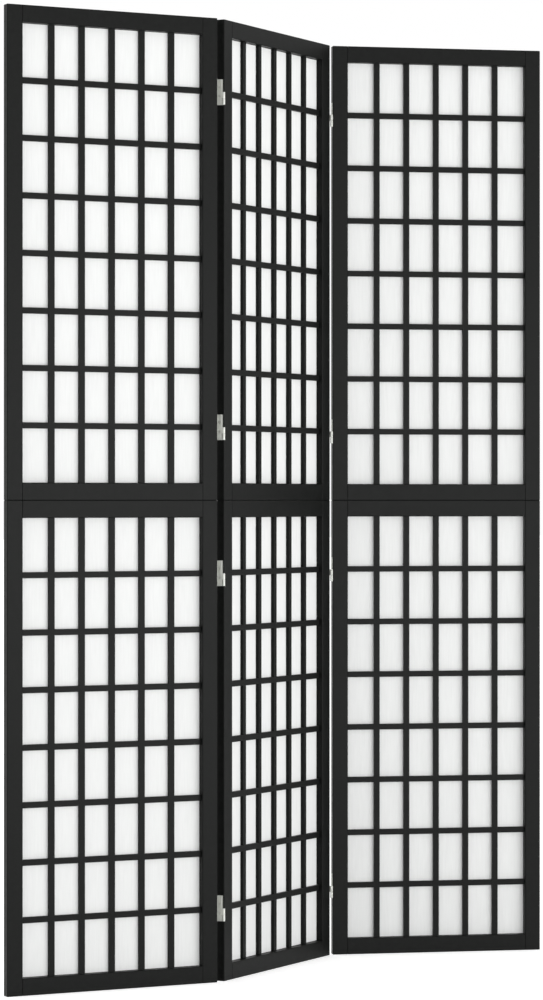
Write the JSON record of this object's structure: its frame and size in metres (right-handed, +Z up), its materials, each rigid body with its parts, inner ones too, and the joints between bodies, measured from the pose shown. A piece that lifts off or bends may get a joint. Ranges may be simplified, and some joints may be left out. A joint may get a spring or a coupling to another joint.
{
  "type": "folding screen",
  "caption": "Free-standing panel screen with black wooden lattice, white paper behind it and two-way hinges, so that each outer panel folds to either side.",
  "frame": {"origin": "on the floor, under the middle of the standing screen's bounding box", "axes": "+Z up, +X along the run of the screen from its left panel to its right one as seen from the front, +Y towards the back"},
  "size_m": [1.1498, 0.2118, 1.7],
  "materials": {
    "painted_wood": "satin black paint",
    "bare_wood": "unfinished beech",
    "paper": "matt white non-woven paper",
    "hinge_steel": "nickel plated, dull"
  },
  "bodies": {
    "mid_panel": {"mid_lower_left_stile": "painted_wood", "mid_lower_right_stile": "painted_wood", "mid_lower_outer_rail": "painted_wood", "mid_lower_seam_rail": "painted_wood", "mid_lower_upright_bars": "painted_wood", "mid_lower_cross_bars": "painted_wood", "mid_lower_paper": "paper", "mid_upper_left_stile": "painted_wood", "mid_upper_right_stile": "painted_wood", "mid_upper_outer_rail": "painted_wood", "mid_upper_seam_rail": "painted_wood", "mid_upper_upright_bars": "painted_wood", "mid_upper_cross_bars": "painted_wood", "mid_upper_paper": "paper", "mid_paper_beads": "painted_wood", "mid_loose_tenons": "bare_wood", "mid_left_hinge_leaves": "hinge_steel", "mid_right_hinge_leaves": "hinge_steel"},
    "left_link": {"left_hinge_links": "hinge_steel", "left_hinge_pins": "hinge_steel"},
    "left_panel": {"left_lower_left_stile": "painted_wood", "left_lower_right_stile": "painted_wood", "left_lower_outer_rail": "painted_wood", "left_lower_seam_rail": "painted_wood", "left_lower_upright_bars": "painted_wood", "left_lower_cross_bars": "painted_wood", "left_lower_paper": "paper", "left_upper_left_stile": "painted_wood", "left_upper_right_stile": "painted_wood", "left_upper_outer_rail": "painted_wood", "left_upper_seam_rail": "painted_wood", "left_upper_upright_bars": "painted_wood", "left_upper_cross_bars": "painted_wood", "left_upper_paper": "paper", "left_paper_beads": "painted_wood", "left_loose_tenons": "bare_wood", "left_hinge_leaves": "hinge_steel"},
    "right_link": {"right_hinge_links": "hinge_steel", "right_hinge_pins": "hinge_steel"},
    "right_panel": {"right_lower_left_stile": "painted_wood", "right_lower_right_stile": "painted_wood", "right_lower_outer_rail": "painted_wood", "right_lower_seam_rail": "painted_wood", "right_lower_upright_bars": "painted_wood", "right_lower_cross_bars": "painted_wood", "right_lower_paper": "paper", "right_upper_left_stile": "painted_wood", "right_upper_right_stile": "painted_wood", "right_upper_outer_rail": "painted_wood", "right_upper_seam_rail": "painted_wood", "right_upper_upright_bars": "painted_wood", "right_upper_cross_bars": "painted_wood", "right_upper_paper": "paper", "right_paper_beads": "painted_wood", "right_loose_tenons": "bare_wood", "right_hinge_leaves": "hinge_steel"}
  },
  "joints": [
    {"name": "left_front_pin", "type": "hinge", "parent": "mid_panel", "child": "left_link", "pos_m": [-0.16231, -0.10299, 0.85], "axis": [0, 0, 1], "range_deg": [0, 90]},
    {"name": "left_back_pin", "type": "hinge", "parent": "left_link", "child": "left_panel", "pos_m": [-0.17321, -0.09013, 0.85], "axis": [0, 0, -1], "range_deg": [-34.4, 145.6]},
    {"name": "right_back_pin", "type": "hinge", "parent": "mid_panel", "child": "right_link", "pos_m": [0.1862, 0.1034, 0.85], "axis": [0, 0, 1], "range_deg": [0, 90]},
    {"name": "right_front_pin", "type": "hinge", "parent": "right_link", "child": "right_panel", "pos_m": [0.1971, 0.09053, 0.85], "axis": [0, 0, -1], "range_deg": [-50.7, 129.3]}
  ]
}
